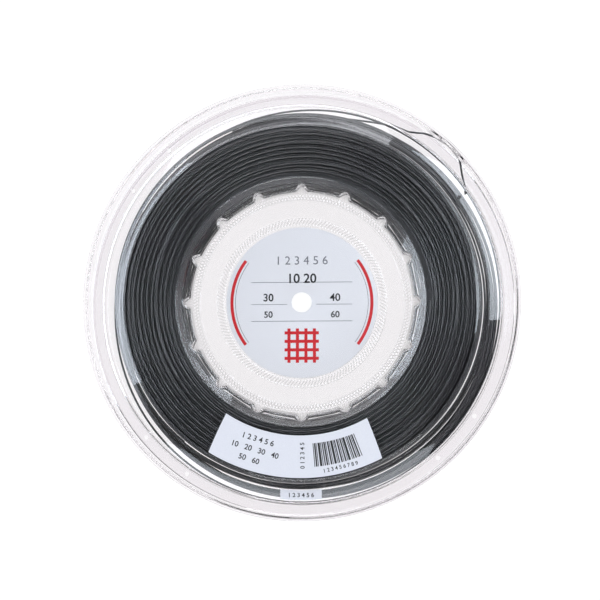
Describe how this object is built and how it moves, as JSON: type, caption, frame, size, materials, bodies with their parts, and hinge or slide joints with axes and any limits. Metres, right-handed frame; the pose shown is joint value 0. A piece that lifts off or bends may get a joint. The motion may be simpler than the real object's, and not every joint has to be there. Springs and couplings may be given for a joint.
{
  "type": "string reel",
  "caption": "Clear two-shell reel of wound racket string, with a recessed welded hub, a round label, flat windows and a pay-out slot round the rim.",
  "frame": {"origin": "on the spool axis, in the plane of the rear lip that the reel lies on", "axes": "+Z along the spool axis out of the front face, +Y towards the top of the label, +X to its right"},
  "size_m": [0.265, 0.265, 0.03],
  "materials": {
    "clear_sheet": "clear gloss",
    "label_print": "satin print",
    "sticker_paper": "semi-gloss paper",
    "string": "satin black"
  },
  "bodies": {
    "root": {"front_shell": "clear_sheet", "rear_shell": "clear_sheet", "label_card": "label_print", "product_sticker": "sticker_paper", "date_sticker": "sticker_paper", "string_pack": "string", "string_turns": "string", "string_tail": "string"}
  },
  "joints": []
}
